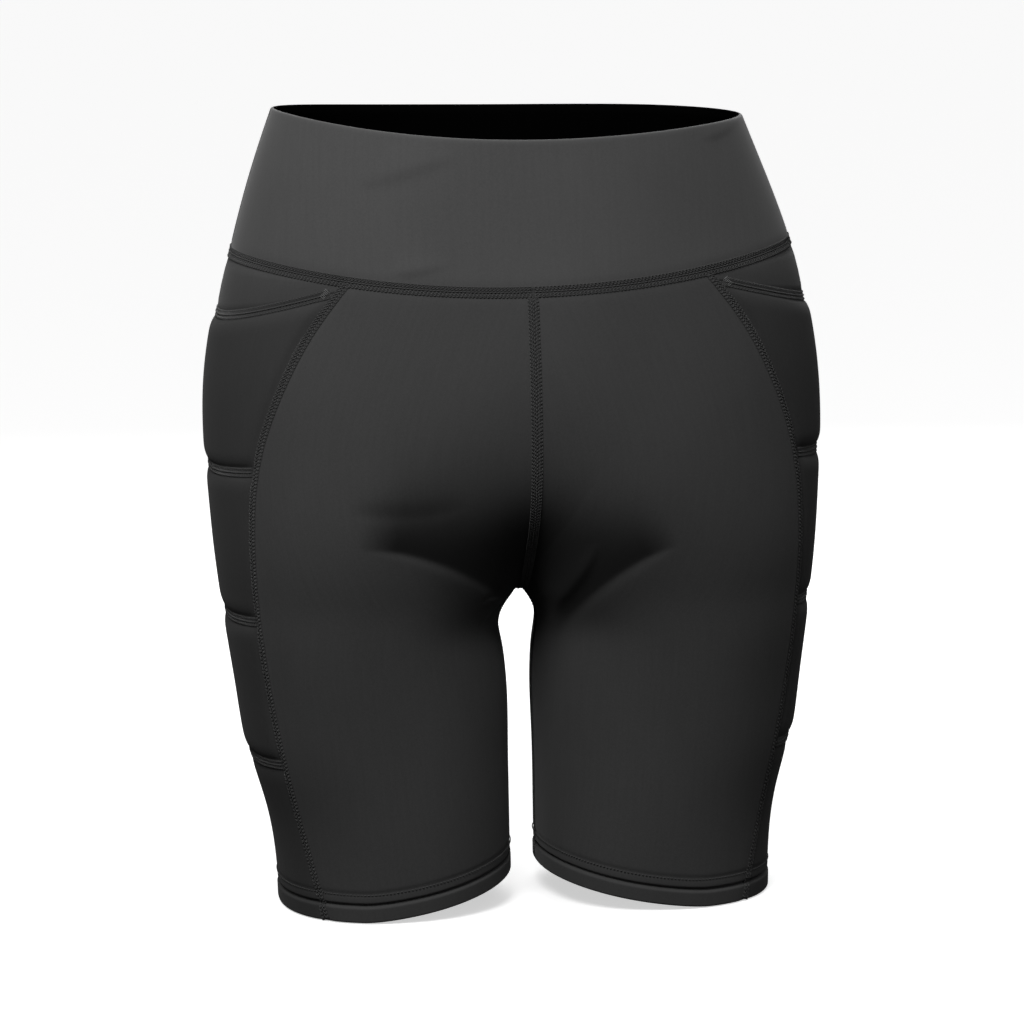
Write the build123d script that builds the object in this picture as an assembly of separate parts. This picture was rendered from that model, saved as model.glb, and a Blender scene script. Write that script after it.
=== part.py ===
from build123d import *
import os
from math import cos, sin, pi, copysign

# Padded impact shorts, standing on the two hems as if worn by an invisible body.
# Millimetres, +Z up. The front is -Y and the wearer's left is +X.
# The origin is under the middle of the garment, on the level that the hems stand on.

# ---- driving dimensions ----
SIDE_HEIGHT = 478.0          # hem edge to waist edge, at the side
FABRIC = 1.2                 # one layer of the compression knit
FOAM = 7.2                   # impact foam
SLACK = 0.1                  # room left between two stacked layers
ROUNDNESS = 2.3              # exponent of every horizontal section, 2 is an ellipse
SECTION_POINTS = 16

# The form of the wearer's left half: a leg that widens upwards into half of the torso.
# height, outer side (x), inner side (x, past the centre plane above the crotch), front, back (y)
BODY_STATIONS = (
    (-8.0, 149.5, 8.5, 84.0, 76.0),
    (60.0, 156.0, 8.5, 86.0, 79.0),
    (92.0, 164.5, 8.5, 88.0, 82.0),
    (130.0, 170.5, 8.5, 91.0, 87.0),
    (170.0, 176.0, 7.0, 96.0, 94.0),
    (188.0, 178.0, 0.0, 99.0, 98.5),
    (205.0, 179.8, -9.0, 103.0, 103.5),
    (225.0, 181.5, -27.0, 107.5, 109.5),
    (250.0, 183.2, -68.0, 112.5, 114.5),
    (276.0, 184.8, -120.0, 116.0, 117.5),
    (323.0, 184.0, -184.0, 117.5, 115.5),
    (394.0, 169.0, -169.0, 109.0, 98.0),
    (436.0, 156.0, -156.0, 105.0, 92.0),
    (490.0, 136.0, -136.0, 100.5, 86.0),
)

# waistband: the edges dip towards the centre of the front and of the back
WAIST_HALF_WIDTH = 140.0
WAIST_FRONT_DIP = 13.5
WAIST_BACK_DIP = 3.5
BAND_SEAM_SIDE = 396.5
BAND_SEAM_HALF_WIDTH = 170.0
BAND_SEAM_FRONT_DIP = 19.5
BAND_SEAM_BACK_DIP = 6.5
ELASTIC_HEIGHT = 38.0
ELASTIC_THICKNESS = 1.0
ELASTIC_TO_EDGE = 2.0

# seams lie on the fabric as flat bands of thread
SEAM_RISE = 0.8
BAND_SEAM_WIDTH = 6.4
CENTRE_SEAM_WIDTH = 6.6
SIDE_SEAM_WIDTH = 5.0
INSEAM_WIDTH = 5.0
CHANNEL_WIDTH = 6.5
CHANNEL_RISE = 0.6

# front edge of the padded side, seen from the front: x, height
FRONT_SIDE_SEAM = (
    (104.0, 387.0), (126.0, 358.0), (144.5, 324.0), (158.0, 286.0), (164.0, 236.0),
    (161.5, 178.0), (152.0, 114.0), (142.0, 65.0), (124.5, -8.0),
)
BACK_SIDE_SEAM = (
    (96.0, 394.0), (120.0, 356.0), (138.0, 324.0), (151.0, 286.0), (158.0, 236.0),
    (157.0, 178.0), (148.0, 114.0), (138.0, 65.0), (121.0, -8.0),
)

# sewn channels across the side: height at the inner end (x = 118) and at the outer side
CHANNEL_INNER_X = 118.0
CHANNEL_OUTER_X = 190.0
YOKE_SEAM = (377.0, 357.0)
UPPER_CHANNEL = (278.5, 267.5)
MIDDLE_CHANNEL = (186.5, 177.5)
LOWER_CHANNEL = (97.0, 89.5)
PAD_MARGIN = 6.0             # from a chamber's edge to the foam inside it

# hem: level on the outer side, rising towards the inseam
HEM_LEVEL_FROM = 104.0
HEM_INNER_RISE = 19.0
HEM_DEPTH = 17.5             # height of the turned-up layer
HEM_STITCH_WIDTH = 1.0

# tailbone pad, inside the seat
TAIL_PAD_WIDTH = 96.0
TAIL_PAD_HEIGHT = 112.0
TAIL_PAD_CENTRE = 318.0
TAIL_PAD_CORNER = 26.0
TAIL_STITCH_WIDTH = 3.0

REACH = 200.0                # past every side of the garment
CROTCH_HEIGHT = 188.0


# ---- the form, as nested solids ----
def section(height, outer, inner, front, back, inset):
    """Closed horizontal outline, inset from the fabric's outer face. It starts on the inner side."""
    centre_x, centre_y = (outer + inner) / 2, (back - front) / 2
    half_width, half_depth = (outer - inner) / 2 - inset, (back + front) / 2 - inset
    points = []
    for step in range(SECTION_POINTS):
        angle = pi + 2 * pi * step / SECTION_POINTS
        across = copysign(abs(cos(angle)) ** (2 / ROUNDNESS), cos(angle))
        along = copysign(abs(sin(angle)) ** (2 / ROUNDNESS), sin(angle))
        points.append((centre_x + half_width * across, centre_y + half_depth * along, height))
    return Wire([Edge.make_spline([Vector(*point) for point in points], periodic=True)])


def form(inset):
    """Left half of the wearer's shape, pulled in by inset, straight from outline to outline."""
    outlines = [section(*station, inset) for station in BODY_STATIONS]
    return Solid.make_loft(outlines, ruled=True)


LAYERS = {}


def layer(outer_inset, inner_inset):
    """Left half of the skin between two insets, from the centre plane outwards."""
    if (outer_inset, inner_inset) not in LAYERS:
        skin = form(outer_inset) - form(inner_inset)
        left_side = Solid.make_box(REACH, 2 * REACH, 3 * REACH, Plane((0, -REACH, -20)))
        LAYERS[outer_inset, inner_inset] = skin & left_side
    return LAYERS[outer_inset, inner_inset]


# ---- zones: outlines seen from the front, pushed through the front or the back half ----
def through_front(face):
    return extrude(face, amount=REACH, dir=(0, -1, 0))


def through_back(face):
    return extrude(face, amount=REACH, dir=(0, 1, 0))


def upright(points):
    """Points seen from the front, as x and height, placed on the plane between front and back."""
    return [Vector(x, 0, height) for x, height in points]


def sampled(edge_height, start, end, count):
    """Points of a height that varies with x."""
    gap = (end - start) / (count - 1)
    return [(start + gap * step, edge_height(start + gap * step)) for step in range(count)]


def line_through(points):
    """Straight through two points, a smooth curve through more."""
    if len(points) == 2:
        return Edge.make_line(*upright(points))
    return Edge.make_spline(upright(points))


def between(low, high, start=0.0, end=REACH, count=6):
    """Face between two heights that vary with x, straight where count is 2."""
    bottom, top = sampled(low, start, end, count), sampled(high, start, end, count)
    return Face(Wire([
        line_through(bottom),
        line_through((bottom[-1], top[-1])),
        line_through(top),
        line_through((bottom[0], top[0])),
    ]))


def level(height):
    return lambda x: height


def dipping(side_height, dip, half_width):
    return lambda x: side_height - dip + dip * (x / half_width) ** 2


def sloping(ends, offset=0.0):
    slope = (ends[1] - ends[0]) / (CHANNEL_OUTER_X - CHANNEL_INNER_X)
    return lambda x: ends[0] + slope * (x - CHANNEL_INNER_X) + offset


def shifted(edge_height, offset):
    return lambda x: edge_height(x) + offset


def hem_edge(x):
    """Level on the outer side of each leg, rising towards the inseam."""
    inward = max(0.0, HEM_LEVEL_FROM - x) / HEM_LEVEL_FROM
    return HEM_INNER_RISE * inward ** 1.4


waist_front = dipping(SIDE_HEIGHT, WAIST_FRONT_DIP, WAIST_HALF_WIDTH)
waist_back = dipping(SIDE_HEIGHT, WAIST_BACK_DIP, WAIST_HALF_WIDTH)
band_front = dipping(BAND_SEAM_SIDE, BAND_SEAM_FRONT_DIP, BAND_SEAM_HALF_WIDTH)
band_back = dipping(BAND_SEAM_SIDE, BAND_SEAM_BACK_DIP, BAND_SEAM_HALF_WIDTH)


def hem_band(low_offset, high_offset):
    """Face between two lines that follow the hem edge, level first and then rising."""
    low, high = shifted(hem_edge, low_offset), shifted(hem_edge, high_offset)
    rising = between(low, high, 0.0, HEM_LEVEL_FROM)
    flat = between(low, high, HEM_LEVEL_FROM, REACH, count=2)
    return rising + flat


def outside_of(seam, offset=0.0):
    """Face on the outer side of a side seam, over the whole height of the garment."""
    points = [(x + offset, height) for x, height in seam]
    top, bottom = points[0], points[-1]
    corners = ((top[0], 2 * SIDE_HEIGHT), (REACH, 2 * SIDE_HEIGHT), (REACH, bottom[1]), bottom)
    return Face(Wire([
        line_through(points),
        line_through((top, corners[0])),
        line_through(corners[0:2]),
        line_through(corners[1:3]),
        line_through(corners[2:4]),
    ]))


def around(front_face, back_face):
    """Zone that runs from the front round the side to the back."""
    return through_front(front_face) + through_back(back_face)


def side_zone(offset=0.0):
    return around(outside_of(FRONT_SIDE_SEAM, offset), outside_of(BACK_SIDE_SEAM, offset))


def band_zone(low, high):
    """Zone between two straight lines, the same on the front and on the back."""
    return around(between(low, high, count=2), between(low, high, count=2))


# ---- writing nodes ----
def solids_of(shape):
    return list(shape.solids())


def mirrored(shape):
    return mirror(shape, about=Plane.YZ)


def write(name, *shapes):
    solids = [solid for shape in shapes for solid in solids_of(shape)]
    export_step(Compound(children=solids) if len(solids) > 1 else solids[0], f"parts/{name}.step")
    print(name, len(solids), round(sum(solid.volume for solid in solids)))


def write_pair(name, shape):
    write(f"{name}_left", shape)
    write(f"{name}_right", mirrored(shape))


def write_whole(name, half):
    """A piece that crosses the centre plane, made from its left half."""
    write(name, half + mirrored(half))


# ---- waistband: two knit layers with an elastic between them at the top ----
def waistband():
    front = through_front(between(band_front, waist_front))
    back = through_back(between(band_back, waist_back))
    outer = layer(0, FABRIC)
    lining_inset = FABRIC + ELASTIC_THICKNESS + 2 * SLACK
    lining = layer(lining_inset, lining_inset + FABRIC)
    write_whole("waistband_outer_front", outer & front)
    write_whole("waistband_outer_back", outer & back)
    write_whole("waistband_lining_front", lining & front)
    write_whole("waistband_lining_back", lining & back)

    elastic_bottom = -ELASTIC_TO_EDGE - ELASTIC_HEIGHT
    elastic = layer(FABRIC + SLACK, FABRIC + SLACK + ELASTIC_THICKNESS) & around(
        between(shifted(waist_front, elastic_bottom), shifted(waist_front, -ELASTIC_TO_EDGE)),
        between(shifted(waist_back, elastic_bottom), shifted(waist_back, -ELASTIC_TO_EDGE)),
    )
    write_whole("waistband_elastic", elastic)

    half = BAND_SEAM_WIDTH / 2
    seam = layer(-SEAM_RISE, 0) & around(
        between(shifted(band_front, -half), shifted(band_front, half)),
        between(shifted(band_back, -half), shifted(band_back, half)),
    )
    write_whole("waistband_seam", seam)


# ---- front and back panels, from the waistband to the hem ----
def body_panels():
    outer = layer(0, FABRIC)
    below_band_front = through_front(between(level(-1.0), band_front)) & through_front(
        hem_band(0, SIDE_HEIGHT)
    )
    below_band_back = through_back(between(level(-1.0), band_back)) & through_back(
        hem_band(0, SIDE_HEIGHT)
    )
    side = side_zone()
    write_pair("front_panel", outer & below_band_front - side)
    write_pair("back_panel", outer & below_band_back - side)


# ---- padded side: yoke, three pad chambers and a plain lower panel ----
CHAMBERS = (
    ("hip_pad", UPPER_CHANNEL, YOKE_SEAM),
    ("upper_thigh_pad", MIDDLE_CHANNEL, UPPER_CHANNEL),
    ("lower_thigh_pad", LOWER_CHANNEL, MIDDLE_CHANNEL),
)


def padded_side():
    outer = layer(0, FABRIC) & side_zone()
    below_band = around(between(level(-1.0), band_front), between(level(-1.0), band_back))
    hem = around(hem_band(0, SIDE_HEIGHT), hem_band(0, SIDE_HEIGHT))
    write_pair("side_yoke", outer & band_zone(sloping(YOKE_SEAM), level(SIDE_HEIGHT)) & below_band)
    write_pair("side_lower_panel", outer & band_zone(level(-1.0), sloping(LOWER_CHANNEL)) & hem)

    foam_face = FABRIC + SLACK
    foam_back = foam_face + FOAM
    lining_face = foam_back + SLACK
    foam_layer = layer(foam_face, foam_back) & side_zone(PAD_MARGIN)
    pocket_layer = layer(FABRIC, lining_face) & side_zone(PAD_MARGIN - SLACK)
    lining = layer(FABRIC, lining_face + FABRIC) & side_zone()
    lining &= band_zone(sloping(LOWER_CHANNEL), sloping(YOKE_SEAM))
    for name, low, high in CHAMBERS:
        write_pair(f"{name}_cover", outer & band_zone(sloping(low), sloping(high)))
        foam_low, foam_high = sloping(low, PAD_MARGIN), sloping(high, -PAD_MARGIN)
        write_pair(name, foam_layer & band_zone(foam_low, foam_high))
        lining -= pocket_layer & band_zone(shifted(foam_low, -SLACK), shifted(foam_high, SLACK))
    write_pair("side_pad_lining", lining)


# ---- seams: bands of thread on the outer face ----
def along(seam):
    """Face that follows a side seam, its width measured level."""
    return outside_of(seam, -SIDE_SEAM_WIDTH / 2) - outside_of(seam, SIDE_SEAM_WIDTH / 2)


def inseam_zone():
    """Box over the inner side of the leg, below the crotch."""
    corner = Plane((CENTRE_SEAM_WIDTH / 2, -INSEAM_WIDTH / 2, 0))
    return Solid.make_box(BODY_STATIONS[0][1] / 2, INSEAM_WIDTH, CROTCH_HEIGHT, corner)


def seams():
    thread = layer(-SEAM_RISE, 0)
    below_band_front = through_front(between(level(0.0), shifted(band_front, -BAND_SEAM_WIDTH / 2)))
    below_band_back = through_back(between(level(0.0), shifted(band_back, -BAND_SEAM_WIDTH / 2)))
    centre = between(level(0.0), level(SIDE_HEIGHT), 0.0, CENTRE_SEAM_WIDTH / 2, count=2)
    write_whole("centre_front_seam", thread & through_front(centre) & below_band_front)
    write_whole("centre_back_seam", thread & through_back(centre) & below_band_back)

    hem = around(hem_band(0, SIDE_HEIGHT), hem_band(0, SIDE_HEIGHT))
    front_side = thread & through_front(along(FRONT_SIDE_SEAM)) & below_band_front & hem
    back_side = thread & through_back(along(BACK_SIDE_SEAM)) & below_band_back & hem
    write_pair("front_side_seam", front_side)
    write_pair("back_side_seam", back_side)

    write_pair("inseam", thread & inseam_zone() & hem)

    ridge = layer(-CHANNEL_RISE, 0) & side_zone(SIDE_SEAM_WIDTH / 2)
    half = CHANNEL_WIDTH / 2
    channels = [
        ridge & band_zone(sloping(ends, -half), sloping(ends, half))
        for ends in (YOKE_SEAM, UPPER_CHANNEL, MIDDLE_CHANNEL, LOWER_CHANNEL)
    ]
    write("pad_channel_seams_left", *channels)
    write("pad_channel_seams_right", *[mirrored(channel) for channel in channels])


# ---- hems: the fabric turned up inside, and the line of stitching that holds it ----
def hems():
    turned = layer(FABRIC + SLACK, 2 * FABRIC + SLACK)
    turn_up = hem_band(0, HEM_DEPTH)
    write_pair("hem_turn_up", turned & around(turn_up, turn_up))
    stitch = hem_band(HEM_DEPTH - HEM_STITCH_WIDTH, HEM_DEPTH)
    stitching = layer(-SEAM_RISE / 2, 0) & around(stitch, stitch)
    stitching -= around(along(FRONT_SIDE_SEAM), along(BACK_SIDE_SEAM))
    write_pair("hem_stitching", stitching - inseam_zone())


# ---- tailbone pad: a rounded foam block in a pocket sewn inside the seat ----
def tail_outline(margin):
    width, height = TAIL_PAD_WIDTH - 2 * margin, TAIL_PAD_HEIGHT - 2 * margin
    sketch = RectangleRounded(width, height, TAIL_PAD_CORNER - margin)
    return Plane.XZ * Pos(0, TAIL_PAD_CENTRE) * sketch


def tailbone_pad():
    foam_face = FABRIC + SLACK
    lining_face = foam_face + FOAM + SLACK
    foam_zone = through_back(tail_outline(PAD_MARGIN))
    pocket_zone = through_back(tail_outline(PAD_MARGIN - SLACK))
    whole_zone = through_back(tail_outline(0))
    write_whole("tailbone_pad", layer(foam_face, foam_face + FOAM) & foam_zone)
    pocket = layer(FABRIC, lining_face + FABRIC) & whole_zone
    pocket -= layer(FABRIC, lining_face) & pocket_zone
    write_whole("tailbone_pad_pocket", pocket)
    ring = tail_outline(0) - tail_outline(TAIL_STITCH_WIDTH)
    stitching = layer(-SEAM_RISE / 2, 0) & through_back(ring)
    beside_seam = Solid.make_box(REACH, REACH, 2 * SIDE_HEIGHT, Plane((CENTRE_SEAM_WIDTH / 2, 0, 0)))
    stitching &= beside_seam
    write("tailbone_pad_stitching", stitching, mirrored(stitching))


os.makedirs("parts", exist_ok=True)
waistband()
body_panels()
padded_side()
seams()
hems()
tailbone_pad()
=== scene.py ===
from math import cos, pi, radians, sin

import bpy
import numpy as np
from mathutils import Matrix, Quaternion, Vector
from mathutils.bvhtree import BVHTree


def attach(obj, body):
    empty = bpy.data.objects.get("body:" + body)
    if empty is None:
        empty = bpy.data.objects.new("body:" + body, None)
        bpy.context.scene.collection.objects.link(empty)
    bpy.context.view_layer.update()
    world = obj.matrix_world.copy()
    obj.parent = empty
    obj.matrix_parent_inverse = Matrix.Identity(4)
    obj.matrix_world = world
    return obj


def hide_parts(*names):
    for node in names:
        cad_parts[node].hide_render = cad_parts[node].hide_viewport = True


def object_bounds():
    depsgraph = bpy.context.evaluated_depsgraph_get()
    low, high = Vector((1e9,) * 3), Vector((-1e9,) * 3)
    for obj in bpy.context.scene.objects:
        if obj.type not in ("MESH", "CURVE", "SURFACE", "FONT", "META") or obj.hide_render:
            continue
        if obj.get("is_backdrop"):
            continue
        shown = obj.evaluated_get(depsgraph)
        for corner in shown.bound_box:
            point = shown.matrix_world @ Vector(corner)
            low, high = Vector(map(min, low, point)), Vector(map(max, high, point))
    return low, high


# Padded impact shorts. Metres, +Z up, the front is -Y and the wearer's left is +X.
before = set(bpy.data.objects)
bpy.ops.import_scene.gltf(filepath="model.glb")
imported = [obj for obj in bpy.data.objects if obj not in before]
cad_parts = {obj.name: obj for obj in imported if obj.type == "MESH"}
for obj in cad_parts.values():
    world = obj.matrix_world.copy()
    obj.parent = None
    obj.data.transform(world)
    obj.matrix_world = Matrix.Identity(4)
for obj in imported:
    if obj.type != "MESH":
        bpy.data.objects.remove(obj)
cad_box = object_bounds()

MM = 0.001
LEFT, RIGHT = 1, -1
SIDES = ((LEFT, "left"), (RIGHT, "right"))

# ---- driving dimensions, the same as the frame's ----
# The left half: height, outer side, inner side (past the centre plane above the crotch), front, back
STATIONS = MM * np.array([
    (-8.0, 149.5, 8.5, 84.0, 76.0),
    (60.0, 156.0, 8.5, 86.0, 79.0),
    (92.0, 164.5, 8.5, 88.0, 82.0),
    (130.0, 170.5, 8.5, 91.0, 87.0),
    (170.0, 176.0, 7.0, 96.0, 94.0),
    (188.0, 178.0, 0.0, 99.0, 98.5),
    (205.0, 179.8, -9.0, 103.0, 103.5),
    (225.0, 181.5, -27.0, 107.5, 109.5),
    (250.0, 183.2, -68.0, 112.5, 114.5),
    (276.0, 184.8, -120.0, 116.0, 117.5),
    (323.0, 184.0, -184.0, 117.5, 115.5),
    (394.0, 169.0, -169.0, 109.0, 98.0),
    (436.0, 156.0, -156.0, 105.0, 92.0),
    (490.0, 136.0, -136.0, 100.5, 86.0),
])
FRONT_SIDE_SEAM = MM * np.array([
    (104.0, 387.0), (126.0, 358.0), (144.5, 324.0), (158.0, 286.0), (164.0, 236.0),
    (161.5, 178.0), (152.0, 114.0), (142.0, 65.0), (124.5, -8.0),
])
BACK_SIDE_SEAM = MM * np.array([
    (96.0, 394.0), (120.0, 356.0), (138.0, 324.0), (151.0, 286.0), (158.0, 236.0),
    (157.0, 178.0), (148.0, 114.0), (138.0, 65.0), (121.0, -8.0),
])
ROUNDNESS = 2.3
YOKE_SEAM = (377.0 * MM, 357.0 * MM)
UPPER_CHANNEL = (278.5 * MM, 267.5 * MM)
MIDDLE_CHANNEL = (186.5 * MM, 177.5 * MM)
LOWER_CHANNEL = (97.0 * MM, 89.5 * MM)
CHANNEL_ENDS = (118.0 * MM, 190.0 * MM)

FABRIC = 1.0 * MM
PITCH = 1.7 * MM
HEM_FOLD = 10.5 * MM
HEM_STITCH = 17.5 * MM
HEM_THREAD = 17.0 * MM
STITCH_PITCH = 2.2 * MM
SEAM_HALF = 3.2 * MM
FLAT_SEAM_HALF = 3.3 * MM
SEAM_THREAD, TOP_THREAD = 0.34 * MM, 0.36 * MM     # radii
ROLL = 1.1 * MM              # half the thickness of a folded edge


# ---- the form ----
def smooth_through(knots, values):
    """Natural cubic spline: a function of height that passes through every value."""
    gaps = np.diff(knots)
    count = len(knots)
    matrix = np.eye(count)
    slopes = np.zeros((count, values.shape[1]))
    for row in range(1, count - 1):
        low, high = gaps[row - 1], gaps[row]
        matrix[row, row - 1:row + 2] = low, 2 * (low + high), high
        rise, fall = values[row + 1] - values[row], values[row] - values[row - 1]
        slopes[row] = 6 * (rise / high - fall / low)
    bend = np.linalg.solve(matrix, slopes)

    def at(height):
        height = np.clip(height, knots[0], knots[-1])
        row = np.clip(np.searchsorted(knots, height) - 1, 0, count - 2)
        gap = gaps[row][..., None]
        up = ((height - knots[row]) / gaps[row])[..., None]
        down = 1 - up
        curve = (down ** 3 - down) * bend[row] + (up ** 3 - up) * bend[row + 1]
        return down * values[row] + up * values[row + 1] + curve * gap ** 2 / 6

    return at


stations_at = smooth_through(STATIONS[:, 0], STATIONS[:, 1:])
front_seam_at = smooth_through(FRONT_SIDE_SEAM[::-1, 1], FRONT_SIDE_SEAM[::-1, :1])
back_seam_at = smooth_through(BACK_SIDE_SEAM[::-1, 1], BACK_SIDE_SEAM[::-1, :1])


def oval(height):
    """Centre and half sizes of the section at a height."""
    outer, inner, front, back = np.moveaxis(stations_at(height), -1, 0)
    return (outer + inner) / 2, (back - front) / 2, (outer - inner) / 2, (back + front) / 2


def rounded(value, power):
    return np.sign(value) * np.abs(value) ** power


def base(side, angle, height):
    """Point on the plain form. Angle 0 is the outer side, -90 degrees the front, 180 the inner side."""
    centre_x, centre_y, wide, deep = oval(height)
    x = centre_x + wide * rounded(np.cos(angle), 2 / ROUNDNESS)
    y = centre_y + deep * rounded(np.sin(angle), 2 / ROUNDNESS)
    return np.stack((side * x, y, height + 0 * x), -1)


def unit(vectors):
    return vectors / np.maximum(np.linalg.norm(vectors, axis=-1, keepdims=True), 1e-9)


def directions(side, angle, height):
    """Round the body, up it, and out of it, at each point; the first two aren't unit vectors."""
    turn, rise = 2e-3, 5e-4
    round_body = (base(side, angle + turn, height) - base(side, angle - turn, height)) / (2 * turn)
    up_body = (base(side, angle, height + rise) - base(side, angle, height - rise)) / (2 * rise)
    return round_body, up_body, side * unit(np.cross(round_body, up_body))


def angle_of_x(x, height):
    """How far round from the outer side a distance from the centre plane lies, 0 to pi."""
    centre_x, _, wide, _ = oval(height)
    across = np.clip((x - centre_x) / wide, -1, 1)
    return np.arccos(rounded(across, ROUNDNESS / 2))


def centre_angle(height):
    return angle_of_x(0 * height, height)


def front_seam_angle(height):
    return angle_of_x(front_seam_at(height)[..., 0], height)


def back_seam_angle(height):
    return angle_of_x(back_seam_at(height)[..., 0], height)


# ---- edges and seams whose height varies with the distance from the centre plane ----
def dipping(side_height, dip, half_width):
    return lambda x: side_height - dip + dip * (x / half_width) ** 2


def level(height):
    return lambda x: height + 0 * x


def channel(ends, offset=0.0):
    slope = (ends[1] - ends[0]) / (CHANNEL_ENDS[1] - CHANNEL_ENDS[0])
    return lambda x: ends[0] + slope * (np.abs(x) - CHANNEL_ENDS[0]) + offset


def hem_edge(x):
    inward = np.maximum(0.0, 104.0 * MM - np.abs(x)) / (104.0 * MM)
    return 19.0 * MM * inward ** 1.4


waist_front = dipping(478.0 * MM, 13.5 * MM, 140.0 * MM)
waist_back = dipping(478.0 * MM, 3.5 * MM, 140.0 * MM)
band_front = dipping(396.5 * MM, 19.5 * MM, 170.0 * MM)
band_back = dipping(396.5 * MM, 6.5 * MM, 170.0 * MM)


def waist_edge(x, y):
    return np.where(y < 0, waist_front(x), waist_back(x))


def band_edge(x, y):
    return np.where(y < 0, band_front(x), band_back(x))


# ---- relief: how the worn fabric departs from the plain form ----
CHAMBERS = (
    ("hip_pad", UPPER_CHANNEL, YOKE_SEAM, 1.8 * MM),
    ("upper_thigh_pad", MIDDLE_CHANNEL, UPPER_CHANNEL, 1.5 * MM),
    ("lower_thigh_pad", LOWER_CHANNEL, MIDDLE_CHANNEL, 1.4 * MM),
)
SHOULDER = 9.0 * MM
PINCH = 1.0 * MM
SEAM_DIP = 0.7 * MM
THIGH_GAP = (6.2 * MM, 174 * MM, 17 * MM)    # depth, height and width of the hollow under the crotch
TAIL_PAD = (0.0, 318.0 * MM, 48.0 * MM, 56.0 * MM, 26.0 * MM)   # x, height, half sizes, corner

# Folds of the front, seen from the front, in millimetres: x, height, strength from 0 to 1.
# Then depth (negative stands out) and the width of the slope above and below the line.
FOLDS = (
    (((-105, 229, 0), (-90, 229, 0.45), (-74, 226, 0.8), (-53, 218, 1), (-34, 207, 1), (-20, 197, 1),
      (-10, 190, 0.6), (-4, 187, 0)), 1.5, 17.0, 4.5),
    (((84, 225, 0), (72, 222, 0.45), (58, 215, 0.8), (41, 202, 1), (28, 187, 0.8), (20, 172, 0.3),
      (16, 158, 0)), 1.8, 13.0, 6.0),
    (((36, 226, 0), (31, 212, 0.6), (23, 198, 1), (16, 184, 0.9), (13, 172, 0.3), (12, 164, 0)),
     -2.2, 4.0, 4.0),
    (((-110, 250, 0), (-90, 249, 0.9), (-64, 249, 0.9), (-40, 253, 0)), 0.7, 8.0, 5.0),
    (((-30, 189, 0), (-22, 192, 0.8), (-15, 189, 0.4), (-10, 186, 0)), 1.2, 1.5, 1.5),
    (((-26, 173, 0), (-20, 177, 0.8), (-14, 183, 0.5), (-11, 186, 0)), 1.2, 1.5, 1.5),
    (((-98, 439, 0), (-85, 444, 0.9), (-62, 451, 0.9), (-40, 455, 0)), -0.9, 7.0, 5.0),
    (((-82, 390, 0), (-68, 391, 1), (-48, 394, 0)), -0.8, 4.0, 3.0),
    (((104, 464, 0), (118, 468, 0.9), (132, 474, 0)), -0.8, 4.0, 3.0),
)

# Painted shade: darkest share at the two creases, how far it reaches below them in millimetres,
# and the dark patch over the crotch: share, height, half sizes
CREASE_SHADE = (0.97, 0.9)
SHADE_BELOW = 2.6
CROTCH_SHADE = (0.85, 203 * MM, 46 * MM, 31 * MM)


def shoulder(distance, width=SHOULDER):
    """0 at a chamber's edge, rising like a quarter circle to 1 over the shoulder."""
    inside = np.clip(distance / width, 0, 1)
    return np.sqrt(1 - (1 - inside) ** 2)


def ridge(distance, width):
    return np.exp(-(distance / width) ** 2)


def fold(points, x, height):
    """Strength of the fold line nearest to each point, and the distance above it."""
    line = np.array(points, float)
    steps = np.linspace(0, len(line) - 1, 16 * len(line))
    line = smooth_through(np.arange(len(line)) * 1.0, line)(steps)
    spots = np.stack((np.ravel(x), np.ravel(height)), -1) / MM
    gaps = np.linalg.norm(spots[:, None, :] - line[None, :, :2], axis=-1)
    near = gaps.argmin(1)
    above = np.sign(spots[:, 1] - line[near, 1])
    shape = np.shape(x)
    strength = np.clip(line[near, 2], 0, None).reshape(shape)
    return strength, (gaps[np.arange(len(near)), near] * above).reshape(shape)


def fold_relief(x, height):
    total = np.zeros(np.shape(x))
    for points, depth, above_width, below_width in FOLDS:
        strength, distance = fold(points, x, height)
        widen = 0.35 + 0.65 * strength
        above = np.maximum(distance, 0) / (above_width * widen)
        below = np.maximum(-distance, 0) / (below_width * widen)
        total -= depth * MM * strength * np.where(distance > 0, (1 + above) * np.exp(-above), ridge(below, 1))
    return total


def hollow(x, height):
    """Share of its colour that a point of the front loses, 0 to 1: painted shade in and above the folds."""
    lit = np.ones(np.shape(x))
    for (points, _, above_width, below_width), share in zip(FOLDS[:2], CREASE_SHADE):
        strength, distance = fold(points, x, height)
        above = np.maximum(distance, 0) / (above_width * (0.25 + 0.95 * strength))
        below = np.maximum(-distance, 0) / min(below_width, SHADE_BELOW)
        lit *= 1 - share * np.clip(1.6 * strength, 0, 1) * np.where(
            distance > 0, (1 + above) * np.exp(-above), ridge(below, 1))
    strength, distance = fold(FOLDS[3][0], x, height)
    lit *= 1 - 0.35 * strength * ridge((distance - 3) / 6, 1)
    share, middle, half_width, half_height = CROTCH_SHADE
    lit *= 1 - share * ridge(x, half_width) * ridge(height - middle, half_height)
    return 1 - lit


def rounded_box_distance(x, height, centre_x, centre_height, half_width, half_height, corner):
    """Distance inside a rounded rectangle, positive inside."""
    over_x = np.abs(x - centre_x) - half_width + corner
    over_height = np.abs(height - centre_height) - half_height + corner
    outside = np.hypot(np.maximum(over_x, 0), np.maximum(over_height, 0))
    return corner - outside - np.minimum(np.maximum(over_x, over_height), 0)


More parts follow.
